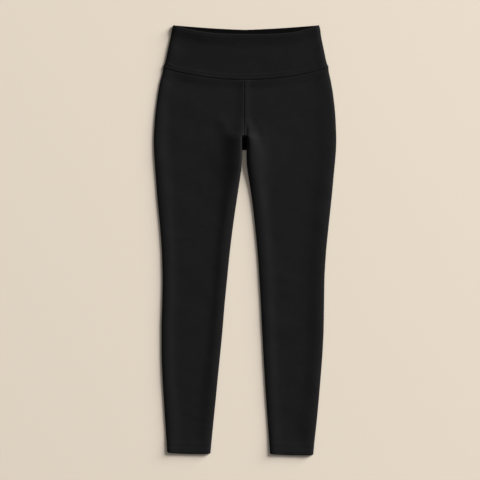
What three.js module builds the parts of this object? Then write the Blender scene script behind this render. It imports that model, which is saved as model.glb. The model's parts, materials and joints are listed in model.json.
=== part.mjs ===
// Full-length leggings with a high contoured waistband, laid flat with the front side up.
// Millimetres. +Z is up, +Y points to the waist, and the wearer's right leg lies at -X.
// The origin is on the surface that the garment lies on, under the middle of its box.
import * as THREE from "three";

// Driving sizes of the garment.
const LENGTH = 1001; // from the waist's corners to the lower of the two hems
const CLOTH = 1.2; // one layer of thick stretch knit
const DOUBLED = 2 * CLOTH; // waistband and turned-up hem, both of two layers
const AIR = 0.5; // between the front and the back wall where they lie on each other
const WAIST_AIR = 3.8; // more air than that at the waist and at the ankles, which lie a little open
const WAIST_LIFT = 30; // how far down the waist's air reaches
const HEM_AIR = 1.1;
const SEAM_GAP = 0.3; // between pieces that are sewn together
const YOKE_DOWN = 100; // the waistband's depth at the sides
const CROTCH_DOWN = 257; // where the centre seam ends and the gusset begins
const GUSSET_END = 291; // where the legs part
const CREASE_START = 215; // where the crotch's creases begin to part from the centre seam
const HEM_DEPTH = 24; // turned up and stitched
const HEM_RAMP = 9; // above it the leg thins to one layer
const TOP_EDGE = { nose: 2.5, drop: 0.3 }; // how the waist's folded edge turns down
const HEM_EDGE = { nose: 4.5, drop: 1.1 }; // the same at the hems
const HEM_DOWN = { right: 998, left: LENGTH };
const DIP = {
  front: { waist: 21.5, yoke: 28 },
  back: { waist: 10.5, yoke: 20 },
}; // how far the middle of the waist's edge and of the waistband's seam lie below their ends
const DIP_POWER = {
  front: { right: 2.5, left: 3.6 },
  back: { right: 1.4, left: 1.4 },
}; // how full the dip of the waist's edge is on either side; a plain parabola has 2
const DIP_FADE = 242; // the rows below the waistband are straight from here down
const HEM_SAG = 1.7; // the middle of a hem below its ends
const HEM_TILT = { right: 1.2, left: 1.3 }; // a hem's end at the wearer's left lies this much lower still
const HEM_SAG_UP = 100; // the rows are straight again from this far above a hem
const HEM_LOW = HEM_SAG + HEM_TILT.left ** 2 / (4 * HEM_SAG); // the lower hem's lowest point below its ends
const MIDDLE_DOWN = (LENGTH + HEM_LOW) / 2; // the distance down to the middle of the garment's box
const CORNER = { inset: 0.6, length: 2 }; // the rounded ends of a hem

// How the cloth is folded at the sides and sewn at the seams.
const SEAM_SHARE = 0.3; // the height of a seam along a fold, as a share of the fold's height
const BACK_NOSE = 4; // from an edge in to where the underside lies flat
const SEAM_GROOVE = { front: 1.1, back: 0.6, reach: 2.6 }; // the dip along the waistband's seam
const CENTRE_GROOVE = { front: 1.4, back: 0.2 }; // the same along the centre seam
const GUSSET_SAG = { depth: 2.2, reach: 16 }; // how far the gusset's middle sags, and within what length
const YOKE_RAMP = 24; // the leg thins to one layer within this below the waistband
const WAIST_NOSE = 10; // from the waistband's folded side in to the crest of its fold
const WAIST_RISE = { top: 0.7, seam: 1.2 }; // the waistband's folded sides above its middle
const WAIST_FALL = 12; // from the crest of a folded side down to the middle

// Distances from the middle to the edges of the garment as it lies, by the distance down from the waist.
// The centre seam lies a little towards the right leg.
const OUTLINE = [
  { down: 0, rightOuter: 167.5, rightInner: 2.3, leftInner: -2.3, leftOuter: 172.5 },
  { down: 6, rightOuter: 169.5, rightInner: 2.3, leftInner: -2.3, leftOuter: 174.7 },
  { down: 28, rightOuter: 173.6, rightInner: 2.3, leftInner: -2.3, leftOuter: 178 },
  { down: 51, rightOuter: 178.5, rightInner: 2.3, leftInner: -2.3, leftOuter: 182.7 },
  { down: 90, rightOuter: 187.2, rightInner: 2.3, leftInner: -2.3, leftOuter: 191.4 },
  { down: 97, rightOuter: 190.6, rightInner: 2.3, leftInner: -2.3, leftOuter: 194.6 },
  { down: 105, rightOuter: 191.2, rightInner: 2.3, leftInner: -2.3, leftOuter: 195.1 },
  { down: 129, rightOuter: 197.3, rightInner: 2.3, leftInner: -2.3, leftOuter: 200 },
  { down: 166, rightOuter: 204, rightInner: 2.3, leftInner: -2.3, leftOuter: 206.2 },
  { down: 217, rightOuter: 210, rightInner: 2.3, leftInner: -2.3, leftOuter: 211.2 },
  { down: 257, rightOuter: 212.6, rightInner: 2.3, leftInner: -2.3, leftOuter: 212.9 },
  { down: 259.6, rightOuter: 212.7, rightInner: 7.2, leftInner: 5.2, leftOuter: 213 },
  { down: 268, rightOuter: 212.9, rightInner: 7.2, leftInner: 4.6, leftOuter: 213 },
  { down: 291, rightOuter: 212.5, rightInner: 6.7, leftInner: 3.2, leftOuter: 212.3 },
  { down: 315, rightOuter: 211.1, rightInner: 7.2, leftInner: 3.5, leftOuter: 210.4 },
  { down: 333, rightOuter: 209.8, rightInner: 8.3, leftInner: 5, leftOuter: 208.7 },
  { down: 352, rightOuter: 208.3, rightInner: 10.7, leftInner: 7.8, leftOuter: 206.9 },
  { down: 408, rightOuter: 204, rightInner: 19.2, leftInner: 16.4, leftOuter: 201.6 },
  { down: 483, rightOuter: 197.1, rightInner: 29.8, leftInner: 24.9, leftOuter: 193.6 },
  { down: 539, rightOuter: 193.6, rightInner: 36.3, leftInner: 30.1, leftOuter: 188.4 },
  { down: 595, rightOuter: 192.3, rightInner: 41.9, leftInner: 33.7, leftOuter: 185.4 },
  { down: 651, rightOuter: 193.3, rightInner: 47.4, leftInner: 36.9, leftOuter: 184.5 },
  { down: 707, rightOuter: 194.8, rightInner: 52, leftInner: 39.7, leftOuter: 183.6 },
  { down: 762, rightOuter: 194.8, rightInner: 57.2, leftInner: 42.5, leftOuter: 181 },
  { down: 818, rightOuter: 192.8, rightInner: 62.9, leftInner: 45.7, leftOuter: 176.8 },
  { down: 874, rightOuter: 189.5, rightInner: 68.3, leftInner: 49.3, leftOuter: 172.1 },
  { down: 930, rightOuter: 185.8, rightInner: 74, leftInner: 53.2, leftOuter: 166.7 },
  { down: 970, rightOuter: 183.2, rightInner: 78, leftInner: 56.1, leftOuter: 162.1 },
  { down: 1002, rightOuter: 181.4, rightInner: 80.8, leftInner: 58.3, leftOuter: 159.2 },
];

// The cloth's folded edges, by the distance down from the waist. An edge's crest lies a nose in from it,
// stands a rise above the middle of the leg, and sinks to the middle over a fall. Roll is 0 on a flat seam
// and 1 on an edge that is folded over.
const OUTER_EDGES = [
  { down: 100, rise: 1.1, nose: 10, rightFall: 12, leftFall: 16 },
  { down: 120, rise: 2.1, nose: 9, rightFall: 13, leftFall: 22 },
  { down: 207, rise: 2.6, nose: 10, rightFall: 15, leftFall: 28 },
  { down: 257, rise: 2.8, nose: 11, rightFall: 16, leftFall: 28 },
  { down: 315, rise: 3, nose: 13, rightFall: 16, leftFall: 27 },
  { down: 382, rise: 3.1, nose: 15, rightFall: 16, leftFall: 24 },
  { down: 482, rise: 3.1, nose: 14, rightFall: 15, leftFall: 21 },
  { down: 600, rise: 3.1, nose: 12, rightFall: 14, leftFall: 20 },
  { down: 760, rise: 3.1, nose: 12, rightFall: 14, leftFall: 20 },
  { down: 950, rise: 2.8, nose: 12, rightFall: 17, leftFall: 22 },
  { down: 984, rise: 1.2, nose: 10, rightFall: 14, leftFall: 15 },
];
const INNER_EDGES = [
  {
    down: 100, rightRise: 0.5, leftRise: 0.5, rightNose: 3.4, leftNose: 3.4,
    rightFall: 8, leftFall: 8, roll: 0,
  },
  {
    down: 120, rightRise: 1.3, leftRise: 1.3, rightNose: 3.4, leftNose: 3.4,
    rightFall: 9, leftFall: 9, roll: 0,
  },
  {
    down: 207, rightRise: 1.5, leftRise: 1.5, rightNose: 3.4, leftNose: 3.4,
    rightFall: 13, leftFall: 10, roll: 0,
  },
  {
    down: 245, rightRise: 6.4, leftRise: 5.4, rightNose: 5.5, leftNose: 6.8,
    rightFall: 24, leftFall: 15, roll: 0,
  },
  {
    down: 257, rightRise: 10, leftRise: 9, rightNose: 5, leftNose: 8.2,
    rightFall: 26, leftFall: 17, roll: 0.15,
  },
  {
    down: 267, rightRise: 12, leftRise: 11.6, rightNose: 4.8, leftNose: 9.6,
    rightFall: 27, leftFall: 20, roll: 1,
  },
  {
    down: 315, rightRise: 10.6, leftRise: 10.6, rightNose: 6.8, leftNose: 13.5,
    rightFall: 28, leftFall: 27, roll: 1,
  },
  {
    down: 350, rightRise: 7.8, leftRise: 7.6, rightNose: 9.6, leftNose: 15.2,
    rightFall: 23, leftFall: 22, roll: 1,
  },
  {
    down: 382, rightRise: 5.5, leftRise: 5.2, rightNose: 14, leftNose: 16,
    rightFall: 18, leftFall: 16, roll: 1,
  },
  {
    down: 482, rightRise: 3.6, leftRise: 3.6, rightNose: 16, leftNose: 16,
    rightFall: 14, leftFall: 15, roll: 1,
  },
  {
    down: 600, rightRise: 3.2, leftRise: 3.2, rightNose: 14, leftNose: 14,
    rightFall: 13, leftFall: 15, roll: 1,
  },
  {
    down: 760, rightRise: 2.9, leftRise: 2.9, rightNose: 13, leftNose: 13,
    rightFall: 14, leftFall: 14, roll: 1,
  },
  {
    down: 950, rightRise: 2.6, leftRise: 2.6, rightNose: 12, leftNose: 12,
    rightFall: 16, leftFall: 14, roll: 1,
  },
  {
    down: 984, rightRise: 1.1, leftRise: 1.1, rightNose: 10, leftNose: 10,
    rightFall: 13, leftFall: 13, roll: 1,
  },
];

// Soft folds on the front: the middle of each crest, its turn from across the garment in degrees,
// and how long, wide and high it is. A negative height is a trough.
const FRONT_FOLDS = [
  { x: -45, down: 243, turn: -66, length: 30, width: 13, height: 1.6 },
  { x: 26, down: 236, turn: 68, length: 26, width: 9, height: 0.8 },
  { x: -66, down: 318, turn: -70, length: 52, width: 13, height: 0.8 },
  { x: 74, down: 320, turn: 66, length: 60, width: 14, height: 0.7 },
  { x: -118, down: 562, turn: 8, length: 46, width: 11, height: 0.6 },
  { x: 104, down: 592, turn: -9, length: 44, width: 12, height: 0.6 },
  { x: -126, down: 902, turn: -12, length: 30, width: 9, height: 0.5 },
  { x: 112, down: 886, turn: 10, length: 28, width: 10, height: 0.5 },
];

// Grid lines.
const LEG_ROWS = [
  100, 102.6, 108, 116, 129, 148, 177, 208, 230, 244, 252, 257, 258.2, 259.6, 262, 267, 275, 284, 291, 300,
  314, 334, 362, 402, 447, 492, 542, 592, 642, 692, 742, 792, 842, 892, 937,
];
const HEM_ROWS = [HEM_DEPTH + HEM_RAMP, HEM_DEPTH, 12, HEM_EDGE.nose, 1.2, 0]; // up from the hem
const WAISTBAND_ROWS = [0, 1.2, TOP_EDGE.nose, 12, 20, 30, 50, 70, 88, 97.4, 100];
const NOSE_STEPS = { front: [0, 22, 45, 67, 90], back: [0, 30, 60, 90] }; // degrees round a folded edge
const FALL_STEPS = { front: [0.6, 1.3, 2.1], back: [1.3] }; // shares of the fall, in from a nose
const LEG_MIDDLE_STEPS = { front: 5, back: 4 };
const WAISTBAND_MIDDLE_STEPS = { front: 13, back: 8 };
const GUSSET_STEPS = [-1, -0.6, -0.2, 0.2, 0.6, 1]; // shares of its half width

const KNIT = { color: 0x1d1d1e, roughness: 0.92, metalness: 0 };
const GUSSET_KNIT = { color: 0x0b0b0c, roughness: 0.95, metalness: 0 };

const radians = THREE.MathUtils.degToRad;
const smooth = (from, to, value) => THREE.MathUtils.smoothstep(value, from, to);

// Reads a column of a table at any distance down, on a curve through its rows that never overshoots them.
function read(table, column, down) {
  const last = table.length - 2;
  const next = table.findIndex((row) => row.down > down);
  const i = next < 0 ? last : Math.min(Math.max(next - 1, 0), last);
  const slope = (k) => (table[k + 1][column] - table[k][column]) / (table[k + 1].down - table[k].down);
  const tangent = (k) => {
    if (k === 0 || k === table.length - 1) return slope(Math.min(k, last));
    const [before, after] = [slope(k - 1), slope(k)];
    return before * after > 0 ? (2 * before * after) / (before + after) : 0;
  };
  const span = table[i + 1].down - table[i].down;
  const t = THREE.MathUtils.clamp((down - table[i].down) / span, 0, 1);
  const [a, b] = [table[i][column], table[i + 1][column]];
  const [u, v] = [tangent(i) * span, tangent(i + 1) * span];
  return a + t * (u + t * (3 * (b - a) - 2 * u - v + t * (2 * (a - b) + u + v)));
}

// How many layers thick the cloth is at a distance above the hem.
const hemWall = (above) => DOUBLED - CLOTH * smooth(HEM_DEPTH, HEM_DEPTH + HEM_RAMP, above);

// The height of the front's outer face where it lies on the back, apart from folded edges and soft folds.
function lyingHeight(down, hemDown) {
  const above = hemDown - down;
  const yoke = (DOUBLED - CLOTH) * 2 * (1 - smooth(0, YOKE_RAMP, down - YOKE_DOWN));
  const mouth = HEM_AIR * (1 - smooth(0, HEM_DEPTH, above));
  return 2 * hemWall(above) + AIR + yoke + mouth;
}

function softFolds(x, down) {
  return FRONT_FOLDS.reduce((sum, fold) => {
    const turn = radians(fold.turn);
    const [across, along] = [x - fold.x, fold.down - down];
    const onCrest = (across * Math.cos(turn) + along * Math.sin(turn)) / fold.length;
    const offCrest = (along * Math.cos(turn) - across * Math.sin(turn)) / fold.width;
    return sum + fold.height * Math.exp(-onCrest * onCrest - offCrest * offCrest);
  }, 0);
}

// The share of its full height that cloth has reached at a distance in from an edge with that nose.
const noseShare = (distance, nose) =>
  distance < nose ? Math.sqrt(1 - (1 - distance / nose) ** 2) : 1;

// How far the outer face has turned down at a distance in from the waist's or a hem's folded edge.
const edgeDrop = (distance, edge) => edge.drop * (1 - noseShare(distance, edge.nose));

// 1 on the nose, then down to 0 over the fall.
const crest = (distance, edge) => Math.exp(-((Math.max(distance - edge.nose, 0) / edge.fall) ** 2));

// The places of a section's points across, closer together where the cloth is folded over.
function placesAcross(low, high, face, middleSteps) {
  const insets = (edge) => [
    ...NOSE_STEPS[face].map((step) => edge.nose * (1 - Math.cos(radians(step)))),
    ...FALL_STEPS[face].map((step) => edge.nose + step * edge.fall),
  ];
  const fromLow = insets(low).map((inset) => low.x + inset);
  const fromHigh = insets(high).map((inset) => high.x - inset);
  const from = fromLow.at(-1);
  const step = (fromHigh.at(-1) - from) / middleSteps;
  const middle = Array.from({ length: middleSteps - 1 }, (_, k) => from + (k + 1) * step);
  return [...fromLow, ...middle, ...fromHigh.reverse()];
}

// One section of a wall, from its low edge to its high edge across: the points of its upper and lower face.
// A front is an upper wall with its outer face up, and a back is a lower wall with its outer face down.
function wallSection({ low, high, wall, middleSteps, face, heightAt, yAt }) {
  const isFront = face === "front";
  const upper = [];
  const lower = [];
  for (const x of placesAcross(low, high, face, middleSteps)) {
    const fromLow = x - low.x;
    const fromHigh = high.x - x;
    const nearLow = fromLow < fromHigh;
    const edge = nearLow ? low : high;
    const share = noseShare(Math.min(fromLow, fromHigh), edge.nose);
    const full = heightAt(x) + low.rise * crest(fromLow, low) + high.rise * crest(fromHigh, high);
    const outer = edge.height + (full - edge.height) * share;
    const lean = Math.PI / 2 - edge.roll * Math.acos(share);
    const inward = (nearLow ? 1 : -1) * wall * Math.cos(lean);
    const through = wall * Math.sin(lean);
    const outerPoint = new THREE.Vector3(x, yAt(x), outer);
    const innerPoint = new THREE.Vector3(x + inward, yAt(x), outer + (isFront ? -through : through));
    upper.push(isFront ? outerPoint : innerPoint);
    lower.push(isFront ? innerPoint : outerPoint);
  }
  return { upper, lower };
}

// A closed wall through its sections.
function wallGeometry(sections) {
  const rows = sections.length;
  const columns = sections[0].upper.length;
  const points = [...sections.flatMap((s) => s.upper), ...sections.flatMap((s) => s.lower)];
  const index = [];
  const quad = (a, b, c, d) => index.push(a, b, c, a, c, d);
  const up = (row, column) => row * columns + column;
  const down = (row, column) => (rows + row) * columns + column;
  for (let r = 0; r < rows - 1; r++) {
    for (let c = 0; c < columns - 1; c++) {
      quad(up(r, c), up(r + 1, c), up(r + 1, c + 1), up(r, c + 1));
      quad(down(r, c), down(r, c + 1), down(r + 1, c + 1), down(r + 1, c));
    }
    quad(up(r, 0), down(r, 0), down(r + 1, 0), up(r + 1, 0));
    quad(up(r, columns - 1), up(r + 1, columns - 1), down(r + 1, columns - 1), down(r, columns - 1));
  }
  for (let c = 0; c < columns - 1; c++) {
    quad(up(0, c), up(0, c + 1), down(0, c + 1), down(0, c));
    quad(up(rows - 1, c), down(rows - 1, c), down(rows - 1, c + 1), up(rows - 1, c + 1));
  }
  const geometry = new THREE.BufferGeometry().setFromPoints(points);
  geometry.setIndex(index);
  geometry.computeVertexNormals();
  return geometry;
}

// The dip of a row's middle below its ends, for a place across given as a share of the half width.
const dip = (depth, share, power = 2) => depth * (1 - Math.abs(share) ** power);

// One front or back piece of a leg, from the waistband's seam to the hem.
function legPanel(side, face) {
  const isFront = face === "front";
  const sign = side === "right" ? -1 : 1;
  const hemDown = HEM_DOWN[side];
  const rows = [...LEG_ROWS, ...HEM_ROWS.map((above) => hemDown - above)];
  const sections = rows.map((row) => {
    const down = Math.max(row, YOKE_DOWN + SEAM_GAP / 2);
    const above = hemDown - row;
    const lying = lyingHeight(down, hemDown);
    const folded = (table, column) => read(table, column, down);
    const inset = CORNER.inset * (1 - smooth(0, CORNER.length, above));
    const outerX = read(OUTLINE, `${side}Outer`, down) - inset;
    const innerX = read(OUTLINE, `${side}Inner`, down) + inset + SEAM_GAP / 2;
    const [seamX, partedX] = [YOKE_DOWN, GUSSET_END].map((at) => read(OUTLINE, `${side}Inner`, at));
    const parting = smooth(CREASE_START, GUSSET_END, down);
    const creaseX = down < GUSSET_END ? seamX + (partedX - seamX) * parting : innerX;
    const innerNose = folded(INNER_EDGES, `${side}Nose`) + creaseX - innerX;
    const groove = SEAM_GROOVE[face] * (1 - smooth(0, SEAM_GROOVE.reach, down - YOKE_DOWN));

    const edge = (rise, nose, fall, roll, x) => {
      const seamHeight = SEAM_SHARE * (lying + rise) + (isFront ? SEAM_GAP / 2 : -SEAM_GAP / 2);
      const flatHeight = isFront ? lying + rise - CENTRE_GROOVE.front - groove : CENTRE_GROOVE.back;
      return {
        x: sign * x,
        nose: isFront ? nose : Math.min(nose, BACK_NOSE),
        fall,
        roll,
        rise: isFront ? rise : 0,
        height: flatHeight + (seamHeight - flatHeight) * roll,
      };
    };
    const outerRise = folded(OUTER_EDGES, "rise");
    const outerNose = folded(OUTER_EDGES, "nose");
    const outer = edge(outerRise, outerNose, folded(OUTER_EDGES, `${side}Fall`), 1, outerX);
    const innerRise = folded(INNER_EDGES, `${side}Rise`);
    const innerFall = folded(INNER_EDGES, `${side}Fall`);
    const inner = edge(innerRise, innerNose, innerFall, folded(INNER_EDGES, "roll"), innerX);
    const [low, high] = side === "right" ? [outer, inner] : [inner, outer];

    const middle = (low.x + high.x) / 2;
    const half = (high.x - low.x) / 2;
    const frontHeight = (x) => lying - groove - edgeDrop(above, HEM_EDGE) + softFolds(x, down);
    const hemShare = 1 - smooth(0, HEM_SAG_UP, above);
    const yAt = (x) =>
      MIDDLE_DOWN -
      down -
      dip(DIP[face].yoke, x / outerX) * (1 - smooth(YOKE_DOWN, DIP_FADE, down)) -
      (dip(HEM_SAG, (x - middle) / half) + (HEM_TILT[side] * (x - middle)) / half) * hemShare;
    return wallSection({
      low,
      high,
      wall: hemWall(above),
      middleSteps: LEG_MIDDLE_STEPS[face],
      face,
      heightAt: isFront ? frontHeight : () => groove,
      yAt,
    });
  });
  return wallGeometry(sections);
}

// The front or back of the waistband, folded double along its upper edge.
function waistband(face) {
  const isFront = face === "front";
  const sections = WAISTBAND_ROWS.map((row) => {
    const down = Math.min(row, YOKE_DOWN - SEAM_GAP / 2);
    const share = down / YOKE_DOWN;
    const lying = 2 * DOUBLED + AIR + WAIST_AIR * (1 - smooth(0, WAIST_LIFT, down));
    const rise = WAIST_RISE.top + (WAIST_RISE.seam - WAIST_RISE.top) * share;
    const groove = SEAM_GROOVE[face] * (1 - smooth(0, SEAM_GROOVE.reach, YOKE_DOWN - down));
    const seamHeight = SEAM_SHARE * (lying + rise) + (isFront ? SEAM_GAP / 2 : -SEAM_GAP / 2);
    const [rightX, leftX] = [read(OUTLINE, "rightOuter", down), read(OUTLINE, "leftOuter", down)];
    const edge = (x) => ({
      x,
      nose: isFront ? WAIST_NOSE : BACK_NOSE,
      fall: WAIST_FALL,
      roll: 1,
      rise: isFront ? rise : 0,
      height: seamHeight,
    });
    const depth = DIP[face].waist * (1 - share) + DIP[face].yoke * share;
    const power = (half) => DIP_POWER[face][half] * (1 - share) + 2 * share;
    const sag = (x) =>
      x < 0 ? dip(depth, x / rightX, power("right")) : dip(depth, x / leftX, power("left"));
    return wallSection({
      low: edge(-rightX),
      high: edge(leftX),
      wall: DOUBLED - groove,
      middleSteps: WAISTBAND_MIDDLE_STEPS[face],
      face,
      heightAt: () => (isFront ? lying - groove - edgeDrop(down, TOP_EDGE) : groove),
      yAt: (x) => MIDDLE_DOWN - down - sag(x),
    });
  });
  return wallGeometry(sections);
}

// The small kite between the four leg pieces, sagging between the folded inner edges that it joins.
function gusset() {
  const rows = LEG_ROWS.filter((down) => down > CROTCH_DOWN && down <= GUSSET_END);
  const sections = rows.map((down) => {
    const low = -read(OUTLINE, "rightInner", down) + 2 * SEAM_GAP;
    const high = read(OUTLINE, "leftInner", down) - 2 * SEAM_GAP;
    const [right, left] = ["rightRise", "leftRise"].map(
      (column) => SEAM_SHARE * (lyingHeight(down, LENGTH) + read(INNER_EDGES, column, down)),
    );
    const nosing = down === GUSSET_END ? CLOTH / 4 : CLOTH / 2;
    const sag = GUSSET_SAG.depth * smooth(0, GUSSET_SAG.reach, down - CROTCH_DOWN);
    const point = (share, offset) =>
      new THREE.Vector3(
        (low + high) / 2 + (share * (high - low)) / 2,
        MIDDLE_DOWN - down,
        (right + left) / 2 + (share * (left - right)) / 2 - dip(sag, share) + offset,
      );
    return {
      upper: GUSSET_STEPS.map((share) => point(share, nosing)),
      lower: GUSSET_STEPS.map((share) => point(share, -nosing)),
    };
  });
  return wallGeometry(sections);
}

function piece(name, geometry, finish) {
  const mesh = new THREE.Mesh(geometry, new THREE.MeshStandardMaterial(finish));
  mesh.name = name;
  return mesh;
}

const leggings = new THREE.Group();
for (const face of ["front", "back"]) {
  leggings.add(piece(`waistband_${face}`, waistband(face), KNIT));
  for (const side of ["right", "left"]) {
    leggings.add(piece(`leg_${face}_${side}`, legPanel(side, face), KNIT));
  }
}
leggings.add(piece("crotch_gusset", gusset(), GUSSET_KNIT));

export default leggings;
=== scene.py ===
"""Full-length leggings with a high contoured waistband, laid flat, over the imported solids.

Sizes are millimetres, as in the part's source, and are turned to metres where a mesh is made. The floor, the
lights and the camera are in metres.
"""

import json
import math

import bpy
import numpy as np
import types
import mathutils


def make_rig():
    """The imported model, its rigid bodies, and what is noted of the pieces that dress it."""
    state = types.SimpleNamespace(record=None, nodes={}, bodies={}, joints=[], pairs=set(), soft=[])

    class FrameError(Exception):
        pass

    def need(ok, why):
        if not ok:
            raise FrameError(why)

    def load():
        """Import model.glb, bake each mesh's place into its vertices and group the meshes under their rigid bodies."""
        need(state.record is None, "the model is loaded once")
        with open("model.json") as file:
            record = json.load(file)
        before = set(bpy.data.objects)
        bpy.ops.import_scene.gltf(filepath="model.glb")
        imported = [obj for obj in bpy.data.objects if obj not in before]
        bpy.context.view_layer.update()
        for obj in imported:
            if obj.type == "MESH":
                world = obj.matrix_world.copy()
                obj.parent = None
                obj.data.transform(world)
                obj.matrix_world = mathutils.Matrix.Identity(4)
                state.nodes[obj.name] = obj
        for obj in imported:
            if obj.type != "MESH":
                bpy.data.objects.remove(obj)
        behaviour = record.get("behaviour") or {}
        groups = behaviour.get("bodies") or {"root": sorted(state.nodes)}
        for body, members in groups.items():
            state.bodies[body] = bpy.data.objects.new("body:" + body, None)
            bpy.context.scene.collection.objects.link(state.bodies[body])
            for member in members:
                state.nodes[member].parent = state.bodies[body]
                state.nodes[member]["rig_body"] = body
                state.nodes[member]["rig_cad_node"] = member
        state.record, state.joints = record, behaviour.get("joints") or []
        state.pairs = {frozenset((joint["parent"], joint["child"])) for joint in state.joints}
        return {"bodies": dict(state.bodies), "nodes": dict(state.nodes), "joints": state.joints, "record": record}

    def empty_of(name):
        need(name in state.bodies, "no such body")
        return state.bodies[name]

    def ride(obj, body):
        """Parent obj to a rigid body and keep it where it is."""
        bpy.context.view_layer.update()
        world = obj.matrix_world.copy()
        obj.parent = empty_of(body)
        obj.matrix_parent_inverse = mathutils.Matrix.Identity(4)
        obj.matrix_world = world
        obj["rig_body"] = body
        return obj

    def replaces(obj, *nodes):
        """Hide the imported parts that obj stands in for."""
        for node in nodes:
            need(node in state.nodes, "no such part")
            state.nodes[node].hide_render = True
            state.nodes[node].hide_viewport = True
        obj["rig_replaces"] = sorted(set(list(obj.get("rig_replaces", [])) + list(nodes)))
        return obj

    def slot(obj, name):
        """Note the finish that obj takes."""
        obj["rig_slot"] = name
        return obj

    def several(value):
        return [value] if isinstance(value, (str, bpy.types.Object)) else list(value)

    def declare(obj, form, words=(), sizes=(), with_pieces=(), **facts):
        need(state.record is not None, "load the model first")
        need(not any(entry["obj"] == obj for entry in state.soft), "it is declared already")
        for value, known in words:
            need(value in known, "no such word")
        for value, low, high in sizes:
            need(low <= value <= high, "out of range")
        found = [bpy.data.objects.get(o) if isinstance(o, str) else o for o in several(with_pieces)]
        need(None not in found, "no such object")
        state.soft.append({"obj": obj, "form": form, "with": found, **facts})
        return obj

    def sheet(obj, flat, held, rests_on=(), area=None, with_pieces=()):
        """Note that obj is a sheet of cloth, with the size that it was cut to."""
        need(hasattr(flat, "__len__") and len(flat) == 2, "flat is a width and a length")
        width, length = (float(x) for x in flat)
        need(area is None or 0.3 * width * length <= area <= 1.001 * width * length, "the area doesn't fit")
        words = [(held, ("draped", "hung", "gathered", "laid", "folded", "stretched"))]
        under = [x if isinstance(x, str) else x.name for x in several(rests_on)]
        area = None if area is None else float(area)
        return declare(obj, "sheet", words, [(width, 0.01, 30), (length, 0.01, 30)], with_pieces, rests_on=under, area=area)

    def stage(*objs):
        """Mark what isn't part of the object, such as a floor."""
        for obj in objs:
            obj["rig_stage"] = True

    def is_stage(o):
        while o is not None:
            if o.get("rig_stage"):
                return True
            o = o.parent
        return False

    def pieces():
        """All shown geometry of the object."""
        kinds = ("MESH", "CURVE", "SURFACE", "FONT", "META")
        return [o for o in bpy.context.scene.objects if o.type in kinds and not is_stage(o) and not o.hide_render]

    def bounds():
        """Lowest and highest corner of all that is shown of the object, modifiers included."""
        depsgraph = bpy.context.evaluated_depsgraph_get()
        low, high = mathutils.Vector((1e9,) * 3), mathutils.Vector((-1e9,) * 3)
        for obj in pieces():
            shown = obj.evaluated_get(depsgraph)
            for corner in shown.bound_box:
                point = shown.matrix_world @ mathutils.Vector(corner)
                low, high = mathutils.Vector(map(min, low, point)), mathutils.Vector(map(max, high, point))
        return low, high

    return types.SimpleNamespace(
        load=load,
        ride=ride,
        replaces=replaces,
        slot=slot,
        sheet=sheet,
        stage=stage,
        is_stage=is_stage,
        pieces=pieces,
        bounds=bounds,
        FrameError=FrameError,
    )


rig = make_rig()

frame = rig.load()
CAD_BOX = [list(corner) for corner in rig.bounds()]

MM = 0.001

# Driving sizes of the garment, as in the part's source
LENGTH = 1001  # from the waist's corners to the lower of the two hems
CLOTH = 1.2  # one layer of thick stretch knit
DOUBLED = 2 * CLOTH  # waistband and turned-up hem, both of two layers
AIR = 0.5  # between the front and the back wall where they lie on each other
WAIST_AIR = 3.8  # more air than that at the waist, which lies a little open
WAIST_LIFT = 30  # how far down the waist's air reaches
HEM_AIR = 1.1  # more air than that at the ankles too
DRAWN_GAP = 0.02  # between sewn pieces, drawn together closer than the solids are
YOKE_DOWN = 100  # the waistband's depth at the sides
CROTCH_DOWN = 257  # where the centre seam ends and the gusset begins
GUSSET_END = 291  # where the legs part
CREASE_START = 215  # where the crotch's creases begin to part from the centre seam
HEM_DEPTH = 24  # turned up and stitched
HEM_RAMP = 9  # above it the leg thins to one layer
TOP_EDGE = {"nose": 2.5, "drop": 0.3}  # how the waist's folded edge turns down
HEM_EDGE = {"nose": 4.5, "drop": 1.1}  # the same at the hems
HEM_DOWN = {"right": 998, "left": LENGTH}

# How far the middle of the waist's edge and of the waistband's seam lie below their ends, and how full the
# dip of the waist's edge is on either side, where a plain parabola has 2
DIP = {"front": {"waist": 21.5, "yoke": 28}, "back": {"waist": 10.5, "yoke": 20}}
DIP_POWER = {"front": {"right": 2.5, "left": 3.6}, "back": {"right": 1.4, "left": 1.4}}
DIP_FADE = 242  # the rows below the waistband are straight from here down
HEM_SAG = 1.7  # the middle of a hem below its ends
HEM_TILT = {"right": 1.2, "left": 1.3}  # a hem's end at the wearer's left lies this much lower still
HEM_SAG_UP = 100  # the rows are straight again from this far above a hem
HEM_LOW = HEM_SAG + HEM_TILT["left"] ** 2 / (4 * HEM_SAG)  # the lower hem's lowest point below its ends
MIDDLE_DOWN = (LENGTH + HEM_LOW) / 2  # the distance down to the middle of the garment's box
CORNER = {"inset": 0.6, "length": 2}  # the rounded ends of a hem

# How the cloth is folded at the sides and sewn at the seams
SEAM_SHARE = 0.3  # the height of a seam along a fold, as a share of the fold's height
BACK_NOSE = 4  # from an edge in to where the underside lies flat
SEAM_GROOVE = {"front": 1.1, "back": 0.6}  # the dip along the waistband's seam
GROOVE_REACH = {"waistband": 2.6, "leg": 1.1}
CENTRE_GROOVE = {"front": 1.75, "back": 0.2}  # the same along the centre seam
YOKE_RAMP = 24  # the leg thins to one layer within this below the waistband
WAIST_NOSE = 10  # from the waistband's folded side in to the crest of its fold
WAIST_RISE = {"top": 0.7, "seam": 1.2}  # the waistband's folded sides above its middle
WAIST_FALL = 12  # from the crest of a folded side down to the middle
GUSSET_SAG = {"depth": 2.2, "reach": 16}  # how far the gusset's middle sags, and within what length

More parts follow.
